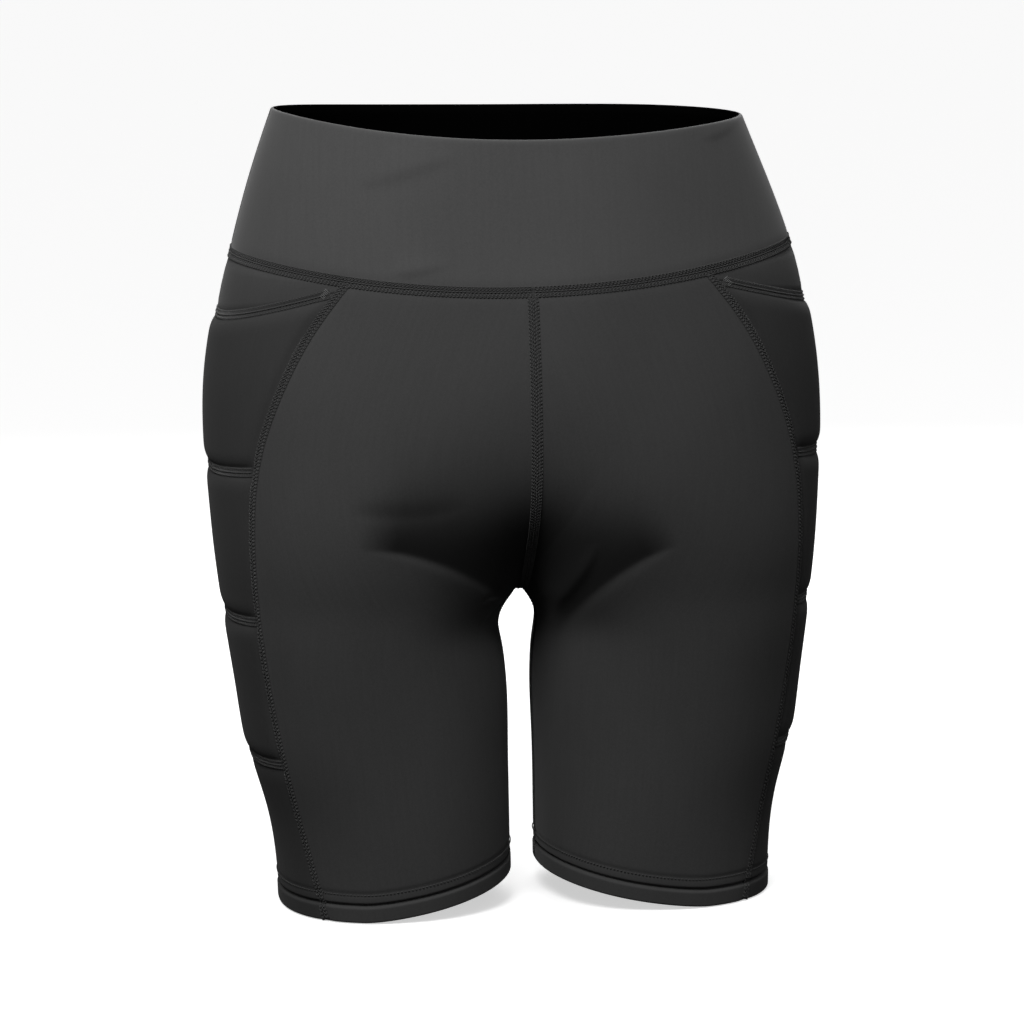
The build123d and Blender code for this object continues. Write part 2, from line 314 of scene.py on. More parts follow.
def chamber_share(angle, height, low, high, margin, width):
    """0 outside a pad chamber, rising over its rounded edges to 1."""
    x = base(LEFT, angle, height)[..., 0]
    speed = np.linalg.norm(directions(LEFT, angle, height)[0], axis=-1)
    share = shoulder((angle + front_seam_angle(height)) * speed - margin, width)
    share = share * shoulder((back_seam_angle(height) - angle) * speed - margin, width)
    share = share * shoulder(height - channel(low)(x) - margin, width)
    return share * shoulder(channel(high)(x) - height - margin, width)


def relief(side, angle, height):
    point = base(side, angle, height)
    x, y = point[..., 0], point[..., 1]
    speed = np.linalg.norm(directions(side, angle, height)[0], axis=-1)
    from_front = (angle + front_seam_angle(height)) * speed
    from_back = (back_seam_angle(height) - angle) * speed
    below_band = band_edge(x, y) - height
    total = np.zeros(np.shape(x))

    for _, low, high, rise in CHAMBERS:
        total += rise * chamber_share(angle, height, low, high, SEAM_HALF, SHOULDER)
    padded = np.clip(from_front / PITCH, 0, 1) * np.clip(from_back / PITCH, 0, 1)
    for ends in (YOKE_SEAM, UPPER_CHANNEL, MIDDLE_CHANNEL, LOWER_CHANNEL):
        total -= PINCH * padded * ridge(height - channel(ends)(x), 6.0 * MM)

    body = np.clip(below_band / (4.0 * MM), 0, 1)
    total -= SEAM_DIP * body * (ridge(from_front, 4.5 * MM) + ridge(from_back, 4.5 * MM))
    total -= SEAM_DIP * ridge(below_band, 4.0 * MM)

    tail = rounded_box_distance(x, height, *TAIL_PAD)
    total += np.where(y > 0, 2.0 * MM * shoulder(tail, 14.0 * MM) - 0.5 * MM * ridge(tail, 3.0 * MM), 0)

    swell = np.sin(31 * x + 17 * height + 1.3) * np.sin(23 * height - 9 * x) + np.sin(52 * x - 34 * height)
    total += 0.3 * MM * swell
    inner_side = np.clip(-side * directions(side, angle, height)[2][..., 0], 0, 1)
    depth, middle, width = THIGH_GAP
    total -= depth * inner_side ** 2 * ridge(height - middle, width)
    facing_front = np.clip(-1.3 * directions(side, angle, height)[2][..., 1], 0, 1)
    total += facing_front * fold_relief(x, height)
    over_hem = height - hem_edge(x)
    total += 0.5 * MM * np.clip((HEM_FOLD - over_hem) / (1.2 * MM), 0, 1)
    total -= 1.9 * MM * ridge(over_hem - HEM_FOLD, 1.0 * MM)
    total -= 0.45 * MM * ridge(over_hem - HEM_STITCH, 1.6 * MM)
    return total


def worn(side, angle, height, lift=0.0):
    """Point on the worn fabric's outer face, or off it by lift."""
    out = directions(side, angle, height)[2]
    return base(side, angle, height) + out * (relief(side, angle, height) + lift)[..., None]


# ---- meshes ----
WAIST_LEAN = 3.4 * MM         # how much lower the left end of the waist edge hangs than the middle
LEFT_CORNER_DROP = 3.2 * MM   # and how much lower still its corner is
WAIST_EDGE_X = 140 * MM
# Painted shade on the front panels at the creases and over the crotch, and a painted highlight on the centre
# front seam there.
SHADE_ON_CLOTH, PAINTED_HIGHLIGHT_ON_SEAM = 0.95, -0.6   # the cloth is painted darker there, and the seam lighter


def leaning(points):
    """The waistband sits a little askew."""
    points = points.reshape(-1, 3).copy()
    up = np.clip((points[:, 2] - 392 * MM) / (86 * MM), 0, 1)
    across = points[:, 0] / WAIST_EDGE_X
    points[:, 2] -= up * (WAIST_LEAN * across + LEFT_CORNER_DROP * np.clip(across, 0, None) ** 3)
    return points


def add_mesh(name, points, faces, uvs=None):
    """An object from points and faces, with the painted shade on the front of the body and a painted
    highlight on the centre front seam.
    """
    mesh = bpy.data.meshes.new(name)
    points = leaning(points)
    mesh.from_pydata(points.tolist(), [], faces.tolist())
    # Painted shade on the front panels and a painted highlight on the centre front seam, stored as the point
    # attribute that the knit material reads.
    if name.startswith(("front_panel", "centre_front")):
        share = SHADE_ON_CLOTH if "panel" in name else PAINTED_HIGHLIGHT_ON_SEAM
        depth = mesh.attributes.new("hollow", "FLOAT", "POINT")
        depth.data.foreach_set("value", hollow(points[:, 0], points[:, 2]) * share)
    if uvs is not None:
        layer = mesh.uv_layers.new(name="metres")
        corners = np.zeros(len(mesh.loops), np.int32)
        mesh.loops.foreach_get("vertex_index", corners)
        layer.data.foreach_set("uv", uvs.reshape(-1, 2)[corners].ravel())
    mesh.shade_smooth()
    piece = bpy.data.objects.new(name, mesh)
    bpy.context.scene.collection.objects.link(piece)
    return piece


def quads(index):
    return np.stack((index[:-1, :-1], index[:-1, 1:], index[1:, 1:], index[1:, :-1]), -1).reshape(-1, 4)


def grid_normals(grid):
    return unit(np.cross(np.gradient(grid, axis=1), np.gradient(grid, axis=0)))


def arc_uvs(grid):
    along_row = np.linalg.norm(np.diff(grid, axis=1, prepend=grid[:, :1]), axis=-1).cumsum(1)
    along_column = np.linalg.norm(np.diff(grid, axis=0, prepend=grid[:1]), axis=-1).cumsum(0)
    return np.stack((along_row - along_row.mean(1, keepdims=True), along_column), -1)


def closed(grid, outward, thickness=FABRIC, back=None):
    """Points, faces and texture places of a closed sheet, from the grid of its outer face."""
    normals = grid_normals(grid)
    if np.sum(normals * outward) < 0:
        grid, normals = grid[:, ::-1], -normals[:, ::-1]
        back = None if back is None else back[:, ::-1]
    if back is None:
        back = grid - normals * thickness
    rows, columns = grid.shape[:2]
    front_index = np.arange(rows * columns).reshape(rows, columns)
    back_index = front_index + rows * columns
    edge = np.concatenate((
        front_index[0, :-1], front_index[:-1, -1], front_index[-1, :0:-1], front_index[:0:-1, 0],
    ))
    edge = np.append(edge, edge[0])
    rim = np.stack((edge[:-1], edge[:-1] + rows * columns, edge[1:] + rows * columns, edge[1:]), -1)
    faces = np.concatenate((quads(front_index), quads(back_index)[:, ::-1], rim))
    uvs = np.tile(arc_uvs(grid).reshape(-1, 2), (2, 1))
    return np.stack((grid, back)).reshape(-1, 3), faces, uvs


def closed_sheet(name, *parts):
    points, faces, uvs, count = [], [], [], 0
    for part_points, part_faces, part_uvs in parts:
        points.append(part_points)
        faces.append(part_faces + count)
        uvs.append(part_uvs)
        count += len(part_points)
    return add_mesh(name, np.concatenate(points), np.concatenate(faces), np.concatenate(uvs))


ROWS_AT_ROLL = 7
PANEL_COLUMNS = 112
EASE_ROWS, EASE_COLUMNS, EASE_ROUNDS = 12, 14, 90
SETTLE_ROUNDS = 9            # rounds that bring a patch onto edges whose height varies
LINE_ROUNDS = 6              # the same for a single line


def settle(first_angle, last_angle, low, high, across, up, offset=0.0):
    """Angles and heights of a patch between two seams and two edges."""
    height = np.tile((0.02 + 0.4 * up)[:, None], (1, len(across)))
    for _ in range(SETTLE_ROUNDS):
        first, last = first_angle(height), last_angle(height)
        angle = first + (last - first) * across
        x, y = np.moveaxis(base(LEFT, angle, height)[..., :2], -1, 0)
        height = low(x, y) + (high(x, y) - low(x, y)) * up[:, None] + np.reshape(offset, (-1, 1))
    return angle, height


def even_rows(first_angle, low, high, pitch=PITCH):
    """Steps from low to high, evenly spaced along the first column and closer near the hem."""
    steps = np.linspace(0, 1, 1500)
    angle, height = settle(first_angle, first_angle, low, high, np.zeros(1), steps)
    line = base(LEFT, angle, height)[:, 0]
    gaps = np.linalg.norm(np.diff(line, axis=0), axis=-1)
    over_hem = height[:-1, 0] - hem_edge(line[:-1, 0])
    gaps = gaps * np.where(over_hem < HEM_STITCH + 3 * MM, 3.4, 1.0)
    reached = np.concatenate(([0], gaps.cumsum()))
    count = int(reached[-1] / pitch) + 1
    return np.interp(np.linspace(0, reached[-1], count), reached, steps)


def plain_rows(up):
    return up, 0 * up, 0 * up


def hem_rows(up):
    """Rows that begin inside, turn under the hem and go on up the outer face."""
    turn = np.linspace(pi, 0, ROWS_AT_ROLL)[:-1]
    return (
        np.append(0 * turn, up),
        np.append(-ROLL * np.sin(turn), 0 * up),
        np.append(-ROLL * (1 - np.cos(turn)), 0 * up),
    )


def waist_rows(up, radius, down):
    """Rows up the outer face, over the waist edge and down inside."""
    turn = np.linspace(0, pi, ROWS_AT_ROLL)[1:]
    drop = np.linspace(0, down, 7)[1:]
    return (
        np.concatenate((up, 1 + 0 * turn, 1 + 0 * drop)),
        np.concatenate((0 * up, radius * np.sin(turn), -drop)),
        np.concatenate((0 * up, -radius * (1 - np.cos(turn)), -2 * radius + 0 * drop)),
    )


def surface(side, first, last, low, high, rows, columns, lift=0.0):
    """Grid on the worn fabric and the way it faces. lift may be a function of angle and height."""
    up, offset, row_lift = rows
    angle, height = settle(first, last, low, high, np.linspace(0, 1, columns), up, offset)
    over = lift(angle, height) if callable(lift) else lift
    return worn(side, angle, height, row_lift[:, None] + over), directions(side, angle, height)[2]


def both_halves(first, last, low, high, rows, columns, lift=0.0):
    """One grid from the right half's far edge over the centre to the left half's."""
    left, left_out = surface(LEFT, first, last, low, high, rows, columns, lift)
    right, right_out = surface(RIGHT, first, last, low, high, rows, columns, lift)
    return (np.concatenate((right[:, ::-1], left[:, 1:]), 1),
            np.concatenate((right_out[:, ::-1], left_out[:, 1:]), 1))


def eased_over_centre(left, right, joined):
    """The cloth bridges the hollow between the two halves above the crotch."""
    flip = np.array((-1.0, 1.0, 1.0))
    middle_line = (left[:, 0] + left[:, 0] * flip + right[:, 0] + right[:, 0] * flip) / 4
    left[joined, 0] = right[joined, 0] = middle_line[joined]
    grid = np.concatenate((right[:, ::-1], left[:, 1:]), 1)[joined]
    middle = left.shape[1] - 1
    columns = np.abs(np.arange(grid.shape[1]) - middle)
    rising = np.clip(np.arange(len(grid)) / EASE_ROWS, 0, 1)[:, None]
    weight = rising * np.clip(1.4 - columns / EASE_COLUMNS, 0, 1)
    for _ in range(EASE_ROUNDS):
        soft = 0.5 * grid[:, 1:-1] + 0.25 * (grid[:, :-2] + grid[:, 2:])
        grid[:, 1:-1] += weight[:, 1:-1, None] * (soft - grid[:, 1:-1])
    left[joined], right[joined] = grid[:, middle:], grid[:, middle::-1]
    return left, right, grid


# ---- seams: bands of thread that lie on the fabric, and their stitches ----
BAND_OFFSETS = np.linspace(-1, 1, 17)


def band_lifts(offsets, half, ribs):
    across = offsets / half
    rise = 0.25 + 0.35 * np.cos(across * pi * ribs) ** 2
    return MM * np.where(np.abs(across) > 0.93, -0.35, rise)


def band_on_fabric(side, angle, height, half, ribs):
    """Grid of a band that follows the fabric along a line given as angles and heights."""
    line = worn(side, angle, height)
    forward = unit(np.gradient(line, axis=0))
    turn, rise, out = directions(side, angle, height)
    sideways = np.cross(out, forward)
    tt, tr, rr = (turn * turn).sum(-1), (turn * rise).sum(-1), (rise * rise).sum(-1)
    st, sr = (sideways * turn).sum(-1), (sideways * rise).sum(-1)
    scale = tt * rr - tr * tr
    turn_step, rise_step = (st * rr - sr * tr) / scale, (sr * tt - st * tr) / scale
    offsets = BAND_OFFSETS * half
    angles = angle[:, None] + turn_step[:, None] * offsets
    heights = height[:, None] + rise_step[:, None] * offsets
    grid = worn(side, angles, heights, band_lifts(offsets, half, ribs))
    return grid, np.repeat(out[:, None], len(offsets), 1), offsets


def band_over_grid(grid, outward, column, half, ribs):
    """Grid of a band along one column of a fabric grid."""
    near = slice(column - 6, column + 7)
    local = grid[:, near]
    reach = np.linalg.norm(np.diff(local, axis=1, prepend=local[:, :1]), axis=-1).cumsum(1)
    reach -= reach[:, 6:7]
    offsets = BAND_OFFSETS * half
    laid = np.stack([
        np.stack([np.interp(offsets, reach[row], local[row, :, axis]) for axis in range(3)], -1)
        for row in range(len(local))
    ])
    normals = grid_normals(laid)
    normals *= np.sign((normals * outward[:, column][:, None]).sum(-1, keepdims=True))
    return laid + normals * band_lifts(offsets, half, ribs)[:, None], normals, offsets


def on_band(grid, offsets, along, across):
    """Points at distances along and across a band."""
    middle = grid[:, len(offsets) // 2]
    reach = np.linalg.norm(np.diff(middle, axis=0, prepend=middle[:1]), axis=-1).cumsum()
    row = np.interp(along, reach, np.arange(len(reach)))
    column = np.interp(across, offsets, np.arange(len(offsets)))
    low_row = np.minimum(row.astype(int), len(reach) - 2)
    low_column = np.minimum(column.astype(int), len(offsets) - 2)
    up, over = (row - low_row)[:, None], (column - low_column)[:, None]
    near = grid[low_row, low_column] * (1 - over) + grid[low_row, low_column + 1] * over
    far = grid[low_row + 1, low_column] * (1 - over) + grid[low_row + 1, low_column + 1] * over
    return near * (1 - up) + far * up


def band_length(grid):
    middle = grid[:, grid.shape[1] // 2]
    return np.linalg.norm(np.diff(middle, axis=0), axis=-1).sum()


# A stitch pattern is a list of bars: along and across at each end, in stitches and in half widths
COVER_STITCH = (
    (0.0, -0.72, 0.75, -0.72), (0.0, 0.72, 0.75, 0.72), (0.4, 0.0, 1.15, 0.0),
    (0.0, -0.66, 0.5, -0.06), (0.0, 0.66, 0.5, 0.06),
)
TRIPLE_STITCH = ((0.0, -0.7, 0.75, -0.7), (0.3, 0.0, 1.05, 0.0), (0.0, 0.7, 0.75, 0.7))
FLAT_STITCH = (
    (0.0, -0.88, 0.75, -0.88), (0.5, -0.34, 1.25, -0.34), (0.0, -0.84, 0.5, -0.4),
    (0.0, 0.88, 0.75, 0.88), (0.5, 0.34, 1.25, 0.34), (0.0, 0.84, 0.5, 0.4), (0.2, 0.0, 0.95, 0.0),
)
TOP_STITCH = ((0.0, 0.0, 0.6, 0.0),)


def stitches(name, bands, pattern, radius, pitch=STITCH_PITCH):
    """Every stitch on some bands, as short rounded bars of thread."""
    starts, ends, outs = [], [], []
    for grid, outward, offsets in bands:
        half = offsets[-1]
        steps = np.arange(0.4, band_length(grid) / pitch - 1.2)
        for along_a, across_a, along_b, across_b in pattern:
            first, last = (steps + along_a) * pitch, (steps + along_b) * pitch
            starts.append(on_band(grid, offsets, first, across_a * half + 0 * first))
            ends.append(on_band(grid, offsets, last, across_b * half + 0 * last))
            outs.append(on_band(outward, offsets, first, 0 * first))
    return bars(name, np.concatenate(starts), np.concatenate(ends), unit(np.concatenate(outs)), radius)


# Rings along a bar of thread: share of its length, share of its radius, and height in radii
BAR_RINGS = ((0, 0.3, -0.5), (0.14, 0.9, 0.3), (0.5, 1, 0.6), (0.86, 0.9, 0.3), (1, 0.3, -0.5))


def bars(name, starts, ends, outs, radius):
    """Short rounded bars of thread between two rows of points."""
    sides = 6
    forward = unit(ends - starts)
    sideways = unit(np.cross(outs, forward))
    out = np.cross(forward, sideways)
    rings = []
    for share, size, rise in BAR_RINGS:
        centre = starts + (ends - starts) * share + out * rise * radius
        for step in range(sides):
            around = 2 * pi * step / sides
            rings.append(centre + radius * size * (cos(around) * sideways + sin(around) * out))
    points = np.stack(rings, 1)
    count = points.shape[1]
    faces = []
    for ring in range(4):
        for step in range(sides):
            low, high = ring * sides + step, ring * sides + (step + 1) % sides
            faces.append((low, high, high + sides, low + sides))
    faces += [(3, 2, 1, 0), (5, 4, 3, 0), (24, 25, 26, 27), (24, 27, 28, 29)]
    faces = np.array(faces)[None] + count * np.arange(len(points))[:, None, None]
    return add_mesh(name, points, faces.reshape(-1, 4))


# ---- materials ----
def srgb(level):
    share = level / 255
    return share / 12.92 if share < 0.04045 else ((share + 0.055) / 1.055) ** 2.4


def node(tree, kind, **settings):
    made = tree.nodes.new(kind)
    for key, value in settings.items():
        if key in made.inputs:
            made.inputs[key].default_value = value
        else:
            setattr(made, key, value)
    return made


def maths(tree, operation, first, second):
    made = tree.nodes.new("ShaderNodeMath")
    made.operation = operation
    for socket, value in zip(made.inputs, (first, second)):
        if isinstance(value, (int, float)):
            socket.default_value = value
        else:
            tree.links.new(value, socket)
    return made.outputs[0]


def noise(tree, coordinates, scale, stretch=(1, 1, 1)):
    mapping = node(tree, "ShaderNodeMapping")
    mapping.inputs["Scale"].default_value = stretch
    tree.links.new(coordinates, mapping.inputs["Vector"])
    made = node(tree, "ShaderNodeTexNoise", Scale=scale, Detail=3.0)
    tree.links.new(mapping.outputs[0], made.inputs["Vector"])
    return made.outputs["Fac"]


def cloth_material(name, tone, spread=0.12, wale=1.0 * MM, course=0.8 * MM, bump=0.15, rough=0.85, sheen=0.25,
                   gloss=0.3):
    """Knit: a mottled tone, faint lines along the length, painted shade in the folds and a painted highlight
    on the centre front seam, and raised loops.
    """
    material = bpy.data.materials.new(name)
    material.use_nodes = True
    tree = material.node_tree
    shader = tree.nodes["Principled BSDF"]
    shader.inputs["Roughness"].default_value = rough
    shader.inputs["Sheen Weight"].default_value = sheen
    shader.inputs["Sheen Roughness"].default_value = 0.45
    shader.inputs["Specular IOR Level"].default_value = gloss
    place = node(tree, "ShaderNodeTexCoord")
    uv, solid = place.outputs["UV"], place.outputs["Object"]
    apart = node(tree, "ShaderNodeSeparateXYZ")
    tree.links.new(uv, apart.inputs[0])
    wales = maths(tree, "SINE", maths(tree, "MULTIPLY", apart.outputs[0], 2 * pi / wale), 0.0)
    courses = maths(tree, "SINE", maths(tree, "MULTIPLY", apart.outputs[1], 2 * pi / course), 0.0)
    loops = maths(tree, "MULTIPLY", wales, courses)

    streaks = noise(tree, uv, 420.0, (1.0, 0.05, 1.0))
    grain = noise(tree, solid, 900.0)
    broad = noise(tree, solid, 22.0)
    mix = maths(tree, "ADD", maths(tree, "MULTIPLY", streaks, 0.25), maths(tree, "MULTIPLY", grain, 0.5))
    mix = maths(tree, "ADD", mix, maths(tree, "MULTIPLY", broad, 0.25))
    mix = maths(tree, "ADD", mix, maths(tree, "MULTIPLY", loops, 0.06))
    ramp = node(tree, "ShaderNodeMapRange")
    ramp.inputs["From Min"].default_value = 0.3
    ramp.inputs["From Max"].default_value = 0.7
    ramp.inputs["To Min"].default_value = srgb(tone) * (1 - spread)
    ramp.inputs["To Max"].default_value = srgb(tone) * (1 + spread)
    tree.links.new(mix, ramp.inputs["Value"])
    # Painted shade: the point attribute darkens the base colour; its negative share on the centre front seam
    # paints a highlight.
    painted_shade_and_highlight = node(tree, "ShaderNodeAttribute", attribute_name="hollow")
    shown = maths(tree, "MULTIPLY", ramp.outputs[0], maths(tree, "SUBTRACT", 1.0, painted_shade_and_highlight.outputs["Fac"]))
    colour = node(tree, "ShaderNodeCombineColor")
    for channel_name in ("Red", "Green", "Blue"):
        tree.links.new(shown, colour.inputs[channel_name])
    tree.links.new(colour.outputs[0], shader.inputs["Base Color"])

    height = maths(tree, "ADD", maths(tree, "MULTIPLY", loops, 0.5), maths(tree, "MULTIPLY", grain, 0.8))
    raised = node(tree, "ShaderNodeBump")
    raised.inputs["Strength"].default_value = bump
    raised.inputs["Distance"].default_value = 0.25 * MM
    tree.links.new(height, raised.inputs["Height"])
    tree.links.new(raised.outputs[0], shader.inputs["Normal"])
    return material


BAND_CLOTH = cloth_material("waistband knit", 76, sheen=0.18)
BODY_CLOTH = cloth_material("body knit", 65, sheen=0.1)
PAD_CLOTH = cloth_material("pad cover knit", 54, sheen=0.04)
# Painted shade: the lining's own black is taken down to near-black, without gloss, so the inside of the waist
# reads black.
LINING_CLOTH = cloth_material("lining mesh", 4, wale=1.2 * MM, course=1.2 * MM, bump=0.3, sheen=0.0,
                              gloss=0.0)
# Painted shade: the seam tape is toned darker than the cloth, standing in for shade between and under the
# stitches.
TAPE = cloth_material("seam tape", 50, wale=0.7 * MM, course=0.9 * MM, bump=0.6)
THREAD = cloth_material("seam thread", 66, spread=0.2, wale=0.5 * MM, course=0.4 * MM, bump=0.2, sheen=0.1)
BRIGHT_THREAD = cloth_material("bar tack thread", 104, spread=0.15, wale=0.5 * MM, course=0.4 * MM, bump=0.2)
FOAM = cloth_material("impact foam", 46, spread=0.15, wale=3.0 * MM, course=3.0 * MM, bump=0.3, rough=0.95)
ELASTIC = cloth_material("elastic", 40, wale=2.0 * MM, course=1.0 * MM, bump=0.6)
BODY = "root"


def finish_piece(piece, material, slot, *nodes):
    """Material and body of a piece, and the nodes it stands for; its finish, slot, is not used."""
    piece.data.materials.append(material)
    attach(piece, BODY)
    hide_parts(*nodes)


def cloth(name, grid, outward, material, slot, flat, area):
    """A sheet of knit; the width, length and area that it has laid flat are not used."""
    piece = closed_sheet(name + "_cloth", closed(grid, outward))
    finish_piece(piece, material, slot, name)
    return piece


def band(name, bands, pattern):
    """A seam: its tape, and the thread that shows on it as a second piece."""
    tape = closed_sheet(name + "_tape", *[closed(grid, outward, 0.5 * MM) for grid, outward, _ in bands])
    finish_piece(tape, TAPE, "seam_thread", name)
    thread = stitches(name + "_stitches", bands, pattern, SEAM_THREAD)
    finish_piece(thread, THREAD, "seam_thread")


# ---- front and back panels ----
def front_seam(height):
    return -front_seam_angle(height)


def on_hem(x, y):
    return hem_edge(x) + ROLL


def line(ends, offset=0.0):
    return lambda x, y: channel(ends, offset)(x)


def front_centre(height):
    return -centre_angle(height)


PANELS = (
    ("front", front_centre, front_seam),
    ("back", centre_angle, back_seam_angle),
)
for word, centre, seam in PANELS:
    rows = hem_rows(even_rows(centre, on_hem, band_edge))
    left, left_out = surface(LEFT, centre, seam, on_hem, band_edge, rows, PANEL_COLUMNS)
    right, right_out = surface(RIGHT, centre, seam, on_hem, band_edge, rows, PANEL_COLUMNS)
    start_angle = settle(centre, centre, on_hem, band_edge, np.zeros(1), rows[0], rows[1])[0][:, 0]
    joined = np.abs(start_angle) < pi - 0.02
    left, right, bridged = eased_over_centre(left, right, joined)
    body = (BODY_CLOTH, "body_knit", (0.235, 0.45), 0.069)
    cloth(f"{word}_panel_left", left, left_out, *body)
    cloth(f"{word}_panel_right", right, right_out, *body)
    outward = np.concatenate((right_out[:, ::-1], left_out[:, 1:]), 1)[joined]
    laid = band_over_grid(bridged, outward, left.shape[1] - 1, FLAT_SEAM_HALF, 2)
    band(f"centre_{word}_seam", [laid], FLAT_STITCH)

# ---- padded sides ----
# flat size of each cover: width and length, and the area of its cut
COVER_CUTS = {
    "hip_pad": ((0.237, 0.118), 0.0189),
    "upper_thigh_pad": ((0.162, 0.093), 0.0139),
    "lower_thigh_pad": ((0.137, 0.090), 0.0121),
}
PAD_INSET = 6.1 * MM         # from a chamber's seams to its pad
PAD_FRONT, PAD_BACK = 1.3 * MM, 8.4 * MM     # depths of a pad's two faces under the cover's outer face
PAD_ROUNDING = 2.4 * MM      # how far each face falls away at the pad's edges
LINING_DEPTH, LINING_DROP = 1.2 * MM, 7.6 * MM   # under the outer face, and further behind a pad
for side, word in SIDES:
    seams = (front_seam, back_seam_angle)
    rows = plain_rows(even_rows(front_seam, line(YOKE_SEAM), band_edge, 1.5 * MM))
    yoke = surface(side, *seams, line(YOKE_SEAM), band_edge, rows, 64)
    cloth(f"side_yoke_{word}", *yoke, BODY_CLOTH, "body_knit", (0.24, 0.045), 0.0083)

    for name, low, high, _ in CHAMBERS:
        edges = (line(low), line(high))
        rows = plain_rows(even_rows(front_seam, *edges, 1.5 * MM))
        cover = surface(side, *seams, *edges, rows, 72)
        cloth(f"{name}_cover_{word}", *cover, PAD_CLOTH, "pad_cover_knit", *COVER_CUTS[name])

        def pad_face(deep, sign):
            def lift(angle, height):
                bare = 1 - chamber_share(angle, height, low, high, 6 * MM, 4 * MM)
                return -deep + sign * PAD_ROUNDING * bare
            return lift

        def inset(seam, sign):
            def at(height):
                speed = np.linalg.norm(directions(LEFT, seam(height), height)[0], axis=-1)
                return seam(height) + sign * PAD_INSET / speed
            return at

        edges = (line(low, PAD_INSET), line(high, -PAD_INSET))
        pad_seams = (inset(front_seam, 1), inset(back_seam_angle, -1))
        rows = plain_rows(np.linspace(0, 1, 44))
        face, outward = surface(side, *pad_seams, *edges, rows, 52, pad_face(PAD_FRONT, -1))
        back = surface(side, *pad_seams, *edges, rows, 52, pad_face(PAD_BACK, 1))[0]
        pad = closed_sheet(f"{name}_{word}_foam", closed(face, outward, back=back))
        finish_piece(pad, FOAM, "impact_foam", f"{name}_{word}")

    def lining_lift(angle, height):
        share = sum(chamber_share(angle, height, low, high, 2 * MM, 5 * MM) for _, low, high, _ in CHAMBERS)
        return -LINING_DEPTH - LINING_DROP * share

    edges = (line(LOWER_CHANNEL), line(YOKE_SEAM))
    lining = surface(side, *seams, *edges, plain_rows(np.linspace(0, 1, 130)), 64, lining_lift)
    cloth(f"side_pad_lining_{word}", *lining, LINING_CLOTH, "lining_mesh", (0.234, 0.305), 0.0449)

    rows = hem_rows(even_rows(front_seam, on_hem, line(LOWER_CHANNEL), 1.6 * MM))
    lower = surface(side, *seams, on_hem, line(LOWER_CHANNEL), rows, 72)
    cloth(f"side_lower_panel_{word}", *lower, PAD_CLOTH, "pad_cover_knit", (0.147, 0.092), 0.0116)

    # seams down the two edges, round the legs and across the pads
    for edge, seam in (("front", front_seam), ("back", back_seam_angle)):
        top = {"front": 384.0, "back": 392.0}[edge] * MM
        height = np.linspace(0.5 * MM, top, 300)
        laid = band_on_fabric(side, seam(height), height, 3.0 * MM, 2)
        band(f"{edge}_side_seam_{word}", [laid], COVER_STITCH)

    channels = []
    for ends in (YOKE_SEAM, UPPER_CHANNEL, MIDDLE_CHANNEL, LOWER_CHANNEL):
        share = np.linspace(0.02, 0.98, 90)
        height = np.full(90, sum(ends) / 2)
        for _ in range(LINE_ROUNDS):
            angle = front_seam(height) + (back_seam_angle(height) - front_seam(height)) * share
            height = channel(ends)(base(LEFT, angle, height)[:, 0])
        channels.append(band_on_fabric(side, angle, height, SEAM_HALF, 2))
    band(f"pad_channel_seams_{word}", channels, TRIPLE_STITCH)

    height = np.linspace(20.5 * MM, 187 * MM, 100)
    band(f"inseam_{word}", [band_on_fabric(side, pi + 0 * height, height, 2.6 * MM, 2)], COVER_STITCH)

    edges = (on_hem, lambda x, y: hem_edge(x) + HEM_STITCH)
    whole = (lambda height: -pi + 0 * height, lambda height: pi + 0 * height)
    turned = surface(side, *whole, *edges, plain_rows(np.linspace(0, 1, 14)), 220, -1.2 * MM)
    cloth(f"hem_turn_up_{word}", *turned, BODY_CLOTH, "body_knit", (0.487, 0.0175), 0.0085)
    angle = np.linspace(-pi, pi, 300)
    height = np.full(300, HEM_STITCH)
    for _ in range(LINE_ROUNDS):
        height = hem_edge(base(LEFT, angle, height)[:, 0]) + HEM_THREAD
    laid = band_on_fabric(side, angle, height, 1.0 * MM, 1)
    thread = stitches(f"hem_stitching_{word}_thread", [laid], TOP_STITCH, TOP_THREAD)
    finish_piece(thread, THREAD, "seam_thread", f"hem_stitching_{word}")

# ---- waistband ----
EDGE = 1.5 * MM
OUTER_ROWS = 46


def paint_shade_inside(piece, grid):
    """Painted shade: from the top of its roll down the inside, and on its back face and rims, the outer
    waistband gets the near-black lining material.
    """
    piece.data.materials.append(LINING_CLOTH)
    columns = grid.shape[1]
    first_inner = (OUTER_ROWS + 2) * (columns - 1)
    inside = np.zeros(len(piece.data.polygons), np.int32)
    inside[first_inner:] = 1
    piece.data.polygons.foreach_set("material_index", inside)


def under_waist(x, y):
    return waist_edge(x, y) - EDGE


for word, centre in (("front", front_centre), ("back", centre_angle)):
    ring = (centre, lambda height: 0 * height)
    rows = waist_rows(np.linspace(0, 1, OUTER_ROWS), EDGE, 9.0 * MM)
    grid, outward = both_halves(*ring, band_edge, under_waist, rows, 96)
    flat = (0.449, 0.105)
    piece = cloth(f"waistband_outer_{word}", grid, outward, BAND_CLOTH, "waistband_knit", flat, 0.042)
    # Painted shade inside the waist: the near-black lining material on the turned-in part of the outer
    # waistband.
    paint_shade_inside(piece, grid)
    rows = plain_rows(np.linspace(0, 1, 20))
    grid, outward = both_halves(*ring, band_edge, under_waist, rows, 60, -2.3 * MM)
    # Painted shade: the waistband lining, of waistband knit, gets the near-black lining material so the
    # inside of the waist reads black.
    cloth(f"waistband_lining_{word}", grid, outward, LINING_CLOTH, "waistband_knit", (0.442, 0.089), 0.036)

